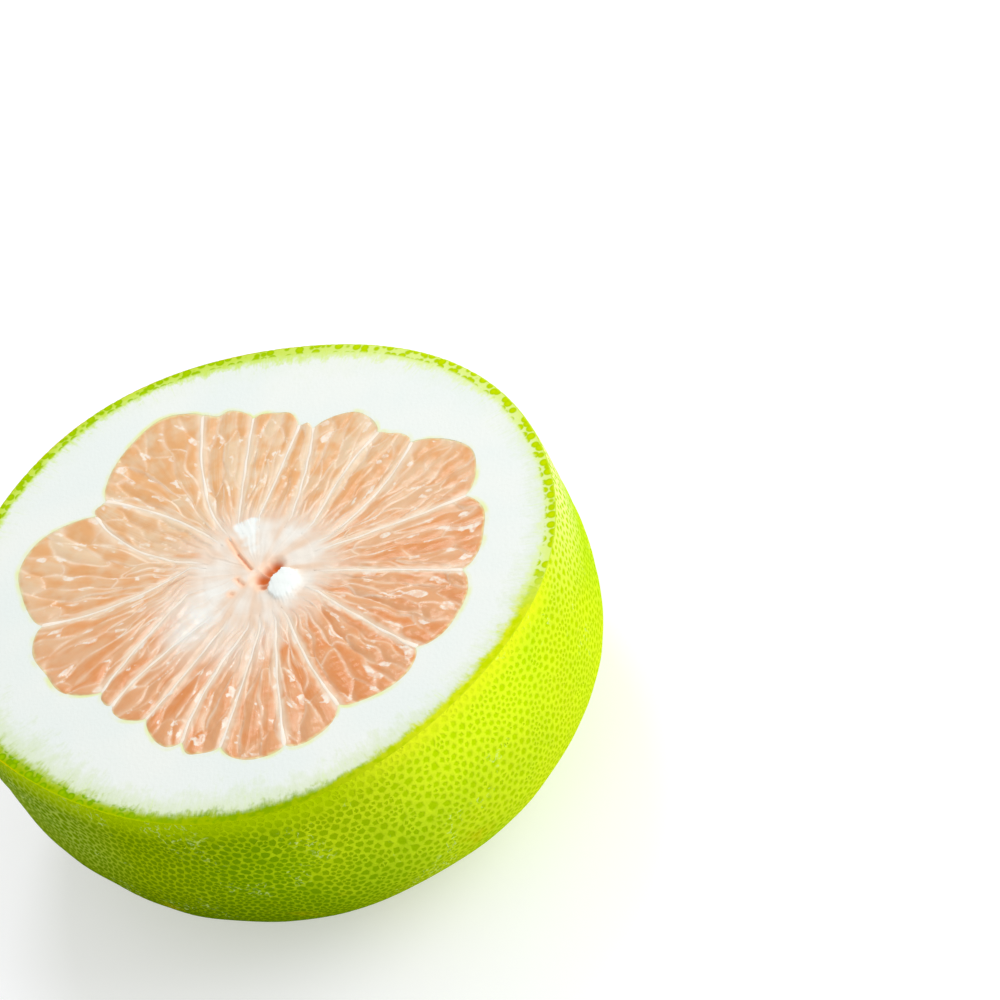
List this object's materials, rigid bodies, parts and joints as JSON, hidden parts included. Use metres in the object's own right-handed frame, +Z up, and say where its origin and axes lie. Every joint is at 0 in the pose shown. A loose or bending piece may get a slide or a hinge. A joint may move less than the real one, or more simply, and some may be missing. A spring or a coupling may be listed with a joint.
{
  "type": "pink pomelo half",
  "caption": "Half of a pink pomelo, cut across the middle: green rind, thick white pith and pink pulp between thin membranes, resting cut side up on its flat blossom end.",
  "frame": {"origin": "bottom centre of the half's box, on the plane of the flat spot that it rests on", "axes": "+Z up through the level cut face, along the fruit's own axis from the blossom end; +X towards the pith's thinner right side as the picture shows it, with the broadest pulp segment at -X +Y"},
  "size_m": [0.1532, 0.1526, 0.0683],
  "materials": {
    "rind": "waxy lime green skin with fine oil glands",
    "pith": "soft matt white, cut smooth",
    "pulp": "wet translucent salmon pink juice sacs"
  },
  "bodies": {
    "root": {"rind": "rind", "pith": "pith", "pulp_01": "pulp", "pulp_02": "pulp", "pulp_03": "pulp", "pulp_04": "pulp", "pulp_05": "pulp", "pulp_06": "pulp", "pulp_07": "pulp", "pulp_08": "pulp", "pulp_09": "pulp", "pulp_10": "pulp", "pulp_11": "pulp", "pulp_12": "pulp", "pulp_13": "pulp", "pulp_14": "pulp", "pulp_15": "pulp", "pulp_16": "pulp", "pulp_17": "pulp", "pulp_18": "pulp", "pulp_19": "pulp"}
  },
  "joints": []
}
